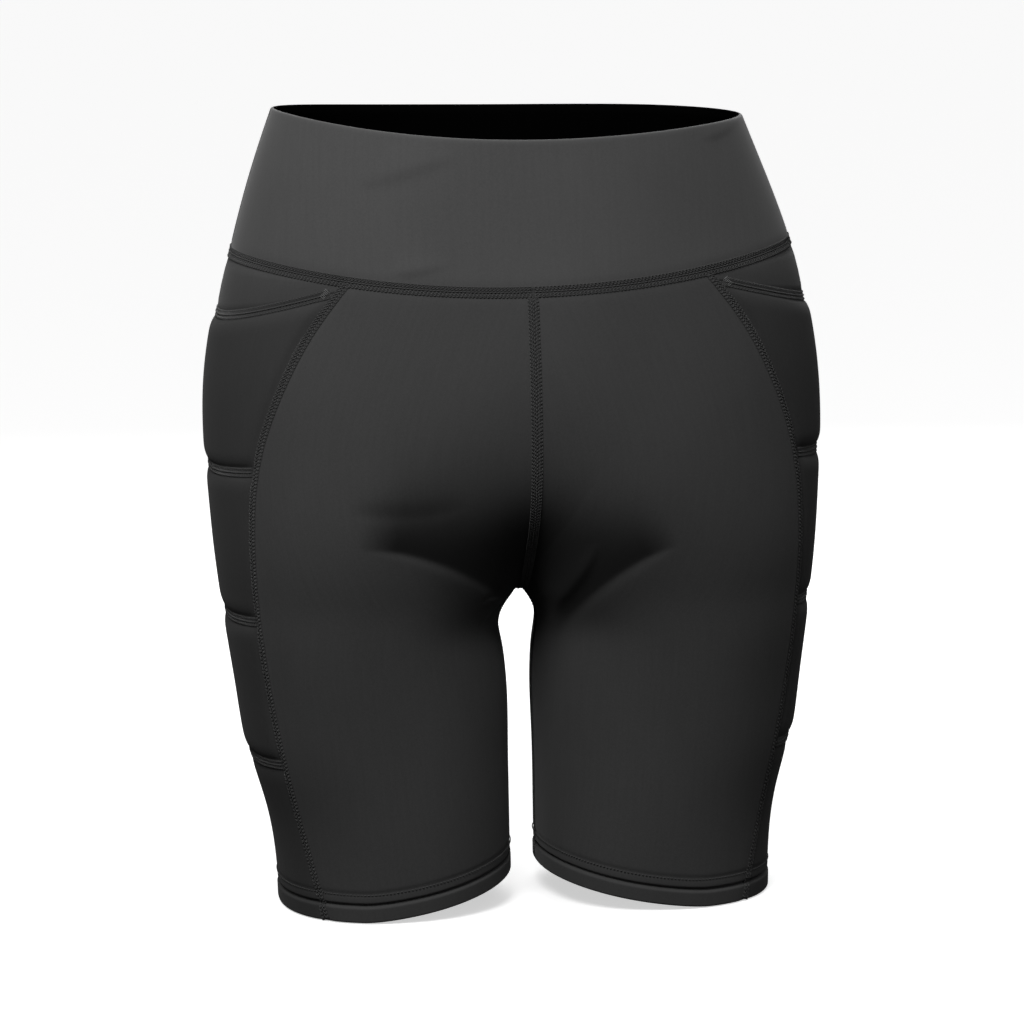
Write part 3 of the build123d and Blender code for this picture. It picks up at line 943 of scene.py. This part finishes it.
whole = (front_centre, centre_angle)
edges = (lambda x, y: waist_edge(x, y) - 40 * MM, lambda x, y: waist_edge(x, y) - 3 * MM)
rows = plain_rows(np.linspace(0, 1, 12))
parts = [closed(*surface(side, *whole, *edges, rows, 140, -1.15 * MM), 0.9 * MM) for side, _ in SIDES]
elastic = closed_sheet("waistband_elastic_band", *parts)
finish_piece(elastic, ELASTIC, "elastic", "waistband_elastic")

halves = []
for side, _ in SIDES:
    share = np.linspace(-1, 1, 420)
    height = np.full(420, 390 * MM)
    for _ in range(LINE_ROUNDS):
        angle = share * centre_angle(height)
        height = band_edge(*np.moveaxis(base(LEFT, angle, height)[:, :2], -1, 0))
    halves.append(band_on_fabric(side, angle, height, FLAT_SEAM_HALF, 2))
band("waistband_seam", halves, FLAT_STITCH)


# ---- tailbone pad: inside the seat, with its stitching on the outer face ----
def seat_point(x, height, lift):
    angle = angle_of_x(np.abs(x), height)
    left, right = worn(LEFT, angle, height, lift), worn(RIGHT, angle, height, lift)
    return np.where((x < 0)[..., None], right, left)


def seat_out(x, height):
    angle = angle_of_x(np.abs(x), height)
    left, right = directions(LEFT, angle, height)[2], directions(RIGHT, angle, height)[2]
    return np.where((x < 0)[..., None], right, left)


def tail_patch(margin, lift, rows=40, columns=40):
    _, middle, half_width, half_height, corner = TAIL_PAD
    half_width, half_height, corner = half_width - margin, half_height - margin, corner - margin
    up = np.sin(np.linspace(-pi / 2, pi / 2, rows)) * half_height
    over = np.maximum(np.abs(up) - (half_height - corner), 0)
    width = half_width - corner + np.sqrt(np.maximum(corner ** 2 - over ** 2, 0))
    x = np.linspace(-1, 1, columns) * width[:, None]
    height = middle + up[:, None] + 0 * x
    edge = np.clip(rounded_box_distance(x, height, 0.0, middle, half_width, half_height, corner), 0, None)
    return seat_point(x, height, lift(edge)), seat_out(x, height)


def pocket_lift(edge):
    return -LINING_DEPTH - LINING_DROP * shoulder(edge, 7 * MM)


def tail_face(edge):
    return -PAD_FRONT - PAD_ROUNDING * (1 - shoulder(edge, 5 * MM))


def tail_back(edge):
    return -PAD_BACK + PAD_ROUNDING * (1 - shoulder(edge, 5 * MM))


TAIL_INSET = 6 * MM
face, outward = tail_patch(TAIL_INSET, tail_face)
pad = closed_sheet("tailbone_pad_foam", closed(face, outward, back=tail_patch(TAIL_INSET, tail_back)[0]))
finish_piece(pad, FOAM, "impact_foam", "tailbone_pad")
cloth("tailbone_pad_pocket", *tail_patch(0, pocket_lift), LINING_CLOTH, "lining_mesh", (0.096, 0.112), 0.0102)


def rounded_box_path(margin, count=400):
    _, middle, half_width, half_height, corner = TAIL_PAD
    turn = np.linspace(0, 2 * pi, count, endpoint=False)
    radius = corner - margin
    x = np.sign(np.cos(turn)) * (half_width - corner) + radius * np.cos(turn)
    height = middle + np.sign(np.sin(turn)) * (half_height - corner) + radius * np.sin(turn)
    path = np.stack((x, height), -1)
    path = np.concatenate((path, path[:1]))
    reach = np.linalg.norm(np.diff(path, axis=0, prepend=path[:1]), axis=-1).cumsum()
    steps = np.arange(0, reach[-1] - STITCH_PITCH, STITCH_PITCH)
    return [np.stack([np.interp(steps + gap, reach, path[:, axis]) for axis in range(2)], -1)
            for gap in (0.0, 0.72 * STITCH_PITCH)]


seat_points, seat_faces = [], []
for word in ("left", "right"):
    mesh = bpy.data.objects[f"back_panel_{word}_cloth"].data
    shift = len(seat_points)
    seat_points += [vertex.co for vertex in mesh.vertices]
    seat_faces += [[index + shift for index in face.vertices] for face in mesh.polygons]
seat = BVHTree.FromPolygons(seat_points, seat_faces)


def on_seat(spots):
    x, height = spots[:, 0], spots[:, 1]
    out = seat_out(x, height)
    start = seat_point(x, height, 0 * x + 25 * MM)
    found = [seat.ray_cast(Vector(point), Vector(-way))[0] for point, way in zip(start, out)]
    return np.array(found), out


rows_of_thread = []
for margin in (0.6 * MM, 2.4 * MM):
    first, last = rounded_box_path(margin)
    (starts, out), (ends, _) = on_seat(first), on_seat(last)
    rows_of_thread.append((starts, ends, out))
starts, ends, outs = [np.concatenate(group) for group in zip(*rows_of_thread)]
thread = bars("tailbone_pad_stitching_thread", starts, ends, outs, TOP_THREAD)
finish_piece(thread, THREAD, "seam_thread", "tailbone_pad_stitching")

# ---- bar tacks that close the yoke seam's front ends ----
TACK_X, TACK_REACH = 116 * MM, 2.6 * MM
for side, word in SIDES:
    height = channel(YOKE_SEAM)(TACK_X) + np.linspace(-TACK_REACH, TACK_REACH, 30)
    laid = band_on_fabric(side, front_seam(height) + 0.06, height, 2.0 * MM, 1)
    tack = stitches(f"yoke_bar_tack_{word}", [laid], ((0.0, -0.9, 0.3, 0.9),), 0.26 * MM, 1.0 * MM)
    finish_piece(tack, BRIGHT_THREAD, "seam_thread")

# ---- camera, floor and light ----
scene = bpy.context.scene
scene.view_settings.view_transform = "Standard"

camera = bpy.data.objects.new("camera", bpy.data.cameras.new("camera"))
scene.collection.objects.link(camera)
scene.camera = camera
camera.data.sensor_width = 36.0
camera.data.lens = 162.0
camera.data.clip_start, camera.data.clip_end = 0.1, 100.0
azimuth, elevation, distance = radians(-7.0), radians(8.5), 2.8
target = Vector((-0.0012, 0.0, 0.2319))
back_off = Vector((sin(azimuth) * cos(elevation), -cos(azimuth) * cos(elevation), sin(elevation)))
camera.location = target + back_off * distance
camera.rotation_mode = "QUATERNION"
look = (-back_off).to_track_quat("-Z", "Y")
camera.rotation_quaternion = look @ Quaternion((0, 0, 1), radians(-1.2))

FLOOR_REACH, FLOOR_HEIGHT = 30.0, -0.5 * MM
floor = bpy.data.objects.new("floor", bpy.data.meshes.new("floor"))
corners = [(x * FLOOR_REACH, y * FLOOR_REACH, FLOOR_HEIGHT) for x, y in ((-1, -1), (1, -1), (1, 1), (-1, 1))]
floor.data.from_pydata(corners, [], [(0, 1, 2, 3)])
scene.collection.objects.link(floor)
floor_paint = bpy.data.materials.new("floor")
floor_paint.use_nodes = True
paint = floor_paint.node_tree.nodes["Principled BSDF"].inputs
paint["Base Color"].default_value = (0.9, 0.9, 0.9, 1)
paint["Roughness"].default_value = 0.9
paint["Emission Color"].default_value = (1, 1, 1, 1)
paint["Emission Strength"].default_value = 0.56
floor.data.materials.append(floor_paint)
floor.visible_diffuse = False
floor.visible_glossy = False
floor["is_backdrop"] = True


def area_light(name, place, size, power, aim=(0.0, 0.0, 0.25)):
    """A round soft light at a place, turned to its aim."""
    lamp = bpy.data.lights.new(name, "AREA")
    lamp.shape, lamp.size, lamp.energy = "DISK", size, power
    holder = bpy.data.objects.new(name, lamp)
    scene.collection.objects.link(holder)
    holder.location = place
    holder.rotation_mode = "QUATERNION"
    holder.rotation_quaternion = (Vector(aim) - Vector(place)).to_track_quat("-Z", "Y")


area_light("key", (-0.4, -0.9, 1.3), 0.7, 13.0, (0.0, 0.0, 0.42))
area_light("back", (0.3, 1.3, 1.2), 1.2, 13.0)

# the studio is bright overhead and dark at the horizon
world = bpy.data.worlds.new("studio")
scene.world = world
world.use_nodes = True
tree = world.node_tree
background = tree.nodes["Background"]
background.inputs["Color"].default_value = (1.0, 1.0, 1.0, 1.0)
place = node(tree, "ShaderNodeTexCoord")
apart = node(tree, "ShaderNodeSeparateXYZ")
tree.links.new(place.outputs["Generated"], apart.inputs[0])
sky = node(tree, "ShaderNodeMapRange")
sky.inputs["From Min"].default_value = 0.08
sky.inputs["From Max"].default_value = 0.75
sky.inputs["To Min"].default_value = 0.01
sky.inputs["To Max"].default_value = 0.55
tree.links.new(apart.outputs[2], sky.inputs["Value"])
tree.links.new(sky.outputs[0], background.inputs["Strength"])

# ---- the frame's box and the visual model's ----
boxes = {"cad": cad_box, "scene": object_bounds()}
corners = {name: [list(corner) for corner in box] for name, box in boxes.items()}
